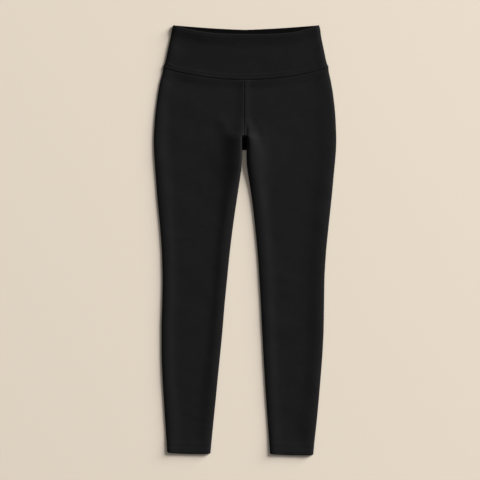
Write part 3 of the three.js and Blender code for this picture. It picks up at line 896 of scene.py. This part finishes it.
def knit(name, colour, specular, bump, mottle):
    """Matt stretch knit: fine wales and courses, a short nap, and slow changes of tone."""
    material = bpy.data.materials.new(name)
    material.use_nodes = True
    tree = material.node_tree
    link = tree.links.new
    shader = tree.nodes["Principled BSDF"]
    set_inputs(
        shader, Roughness=0.86, Specular_IOR_Level=specular, Sheen_Weight=0.04, Sheen_Roughness=0.45
    )
    place = tree.nodes.new("ShaderNodeTexCoord").outputs["Object"]

    def pattern(kind, **inputs):
        made = tree.nodes.new(kind)
        set_inputs(made, **inputs)
        link(place, made.inputs["Vector"])
        return made

    def spread(socket, change):
        """A noise, which lies mostly between 0.3 and 0.7, as a factor round 1."""
        mapped = tree.nodes.new("ShaderNodeMapRange")
        set_inputs(mapped, From_Min=0.3, From_Max=0.7, To_Min=1 - change, To_Max=1 + change)
        link(socket, mapped.inputs["Value"])
        return mapped.outputs["Result"]

    def calculated(operation, *values):
        made = tree.nodes.new("ShaderNodeMath")
        made.operation = operation
        for slot, value in zip(made.inputs, values):
            if isinstance(value, float):
                slot.default_value = value
            else:
                link(value, slot)
        return made.outputs["Value"]

    def ribs(direction, scale, distortion):
        made = pattern("ShaderNodeTexWave", Scale=scale, Distortion=distortion, Detail_Scale=3.0)
        made.bands_direction = direction
        return made.outputs["Fac"]

    tone = pattern("ShaderNodeTexNoise", Scale=34.0, Detail=3.0, Roughness=0.55).outputs["Fac"]
    nap = pattern("ShaderNodeTexNoise", Scale=1150.0, Detail=2.0, Roughness=0.6).outputs["Fac"]
    scaled = tree.nodes.new("ShaderNodeVectorMath")
    scaled.operation = "SCALE"
    scaled.inputs[0].default_value = colour
    link(calculated("MULTIPLY", spread(tone, mottle), spread(nap, NAP_CHANGE)), scaled.inputs["Scale"])
    link(scaled.outputs["Vector"], shader.inputs["Base Color"])

    wales, courses = ribs("X", 520.0, 0.6), ribs("Y", 610.0, 0.8)
    weave = calculated("MULTIPLY_ADD", wales, WALE_SHARE, courses)
    relief = tree.nodes.new("ShaderNodeBump")
    set_inputs(relief, Strength=bump, Distance=KNIT_HEIGHT * MM)
    link(calculated("MULTIPLY_ADD", nap, NAP_SHARE, weave), relief.inputs["Height"])
    link(relief.outputs["Normal"], shader.inputs["Normal"])
    return material


KNIT = knit("knit", (0.007, 0.0072, 0.0077), specular=0.128, bump=0.5, mottle=0.1)
BAND_KNIT = knit("band_knit", (0.0065, 0.0067, 0.0072), specular=0.115, bump=0.5, mottle=0.1)
# A near-black copy of the knit for the back waistband's inner side where it shows in the waist's opening: painted
# shade of the opening
OPENING_SHADE_KNIT = knit("opening_painted_shade", (0.0022, 0.0022, 0.0024), specular=0.04, bump=0.5, mottle=0.1)
# The gusset is the same knit painted near black, a third of its tone: painted shade of the crotch between the legs
GUSSET_SHADE_KNIT = knit("gusset_knit", (0.0022, 0.0022, 0.0024), specular=0.03, bump=0.4, mottle=0.1)
THREAD = knit("thread", (0.009, 0.009, 0.0094), specular=0.2, bump=0.3, mottle=0.05)


def dress(made, material, slot_name="knit"):
    made.data.materials.append(material)
    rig.ride(made, "root")
    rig.slot(made, slot_name)
    return made


panels = {}
cloths = {}
for face in ("front", "back"):
    panels[f"waistband_{face}"] = Waistband(face)
    for side in ("right", "left"):
        panels[f"leg_{face}_{side}"] = Leg(side, face)

# The faces that take the near-black copy of the knit, as painted shade inside the waist's opening
SHADED_FACES_UP = 0.6  # the least upward part of a normal on the back's inner side, which shows at the waist
SEAM_FACES = 200  # short of half of all faces by this many, that side's last two rows are left out
for name, panel in panels.items():
    cloth = closed_wall(f"cloth_{name}", *wall_sections(panel))
    cloths[name] = dress(cloth, BAND_KNIT if "waistband" in name else KNIT)
    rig.replaces(cloth, name)
    if name == "waistband_back":
        # The upward faces of the back waistband's inner side take the near-black knit: painted shade inside the
        # waist's opening
        cloth.data.materials.append(OPENING_SHADE_KNIT)
        polygons = list(cloth.data.polygons)
        for polygon in polygons[: len(polygons) // 2 - SEAM_FACES]:
            polygon.material_index = int(polygon.normal.z > SHADED_FACES_UP)

# The gusset takes the near-black knit: painted shade at the crotch
gusset = dress(closed_wall("cloth_crotch_gusset", *gusset_sections()), GUSSET_SHADE_KNIT, "gusset_knit")
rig.replaces(gusset, "crotch_gusset")

threads = {}
for face in ("front", "back"):
    band, margin = panels[f"waistband_{face}"], ROW_MARGIN["waistband"]
    waist_pairs = [pair for down in WAIST_ROWS for pair in stitch_row(band, down, margin)]
    yoke_pairs = stitch_row(band, YOKE_DOWN - YOKE_ROW, margin)
    threads[f"waistband_{face}"] = [
        dress(thread_mesh(f"threads_waist_{face}", waist_pairs), THREAD),
        dress(thread_mesh(f"threads_yoke_{face}", yoke_pairs), THREAD),
    ]
    for side in ("right", "left"):
        leg, margin = panels[f"leg_{face}_{side}"], ROW_MARGIN["leg"]
        pairs = [pair for up in HEM_ROWS for pair in stitch_row(leg, leg.hem_down - up, margin)]
        hem_threads = thread_mesh(f"threads_hem_{face}_{side}", pairs)
        threads[f"leg_{face}_{side}"] = [dress(hem_threads, THREAD)]


def shell_area(made):
    """Half of a thin closed shell's surface, in square metres."""
    return sum(polygon.area for polygon in made.data.polygons) / 2


WITHOUT_RIMS = 0.98  # the share of a shell's area that isn't the rims of its wall
for name, cloth in cloths.items():
    low, high = np.array(cloth.bound_box[0]), np.array(cloth.bound_box[6])
    width, length = (high - low)[:2]
    under = [name.replace("front", "back")] if "front" in name else []
    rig.sheet(
        cloth,
        flat=(round(float(width), 4), round(float(length), 4)),
        held="laid",
        rests_on=under,
        area=round(shell_area(cloth) * WITHOUT_RIMS, 4),
        with_pieces=threads[name],
    )
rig.sheet(gusset, flat=(0.014, 0.033), held="laid", rests_on=["leg_back_right"], area=0.0004)

# Floor, lights and camera
FLOOR_REACH = 30.0
FLOOR_DROP = 0.0002  # below the garment's underside, so that the two don't flicker
FLOOR_COLOUR = (0.86, 0.767, 0.653, 1)
LIGHT_COLOUR = (1.0, 0.985, 0.965)
WORLD_COLOUR = (1.0, 0.99, 0.975, 1)
WORLD_STRENGTH = 0.2

PHOTO_WIDTH = 480  # pixels
PIXEL = 2.33  # millimetres of the garment in one pixel of the photo
FRAME_MIDDLE = {"x": -11.65, "down": 500.85}
CAMERA_HEIGHT = 3.2
GARMENT_HEIGHT = 0.005  # where the camera's scale holds
SENSOR_WIDTH = 36


def floor():
    corners = [(x * FLOOR_REACH, y * FLOOR_REACH, 0) for x, y in ((-1, -1), (1, -1), (1, 1), (-1, 1))]
    mesh = bpy.data.meshes.new("floor")
    mesh.from_pydata(corners, [], [(0, 1, 2, 3)])
    made = put_in_scene("floor", mesh)
    made.location.z = -FLOOR_DROP
    material = bpy.data.materials.new("floor")
    material.use_nodes = True
    shader = material.node_tree.nodes["Principled BSDF"]
    set_inputs(shader, Base_Color=FLOOR_COLOUR, Roughness=0.95, Specular_IOR_Level=0.1)
    mesh.materials.append(material)
    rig.stage(made)


def area_light(name, azimuth, elevation, distance, size, power):
    """A soft light, wide and tall, that looks at the garment's middle; azimuth 0 is at its left side."""
    light = bpy.data.lights.new(name, "AREA")
    light.shape = "RECTANGLE"
    light.size, light.size_y = size
    light.energy = power
    light.color = LIGHT_COLOUR
    made = put_in_scene(name, light)
    a, e = math.radians(azimuth), math.radians(elevation)
    made.location = (
        distance * math.cos(e) * math.cos(a),
        distance * math.cos(e) * math.sin(a),
        distance * math.sin(e),
    )
    made.rotation_euler = (math.pi / 2 - e, 0, a + math.pi / 2)


floor()
area_light("key", azimuth=34, elevation=28, distance=24.0, size=(12.0, 4.5), power=5400)
area_light("low", azimuth=34, elevation=13, distance=24.0, size=(14.0, 7.0), power=7200)

world = bpy.data.worlds.new("studio")
world.use_nodes = True
set_inputs(world.node_tree.nodes["Background"], Color=WORLD_COLOUR, Strength=WORLD_STRENGTH)
bpy.context.scene.world = world

camera = bpy.data.cameras.new("camera")
camera.sensor_width = SENSOR_WIDTH
camera.lens = SENSOR_WIDTH * (CAMERA_HEIGHT - GARMENT_HEIGHT) / (PHOTO_WIDTH * PIXEL * MM)
camera_object = put_in_scene("camera", camera)
middle_y = (MIDDLE_DOWN - FRAME_MIDDLE["down"]) * MM
camera_object.location = (FRAME_MIDDLE["x"] * MM, middle_y, CAMERA_HEIGHT)
bpy.context.scene.camera = camera_object
bpy.context.scene.view_settings.view_transform = "Standard"

SCENE_BOX = [list(corner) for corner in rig.bounds()]
with open("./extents.json", "w") as size_file:
    json.dump({"cad": CAD_BOX, "scene": SCENE_BOX}, size_file)
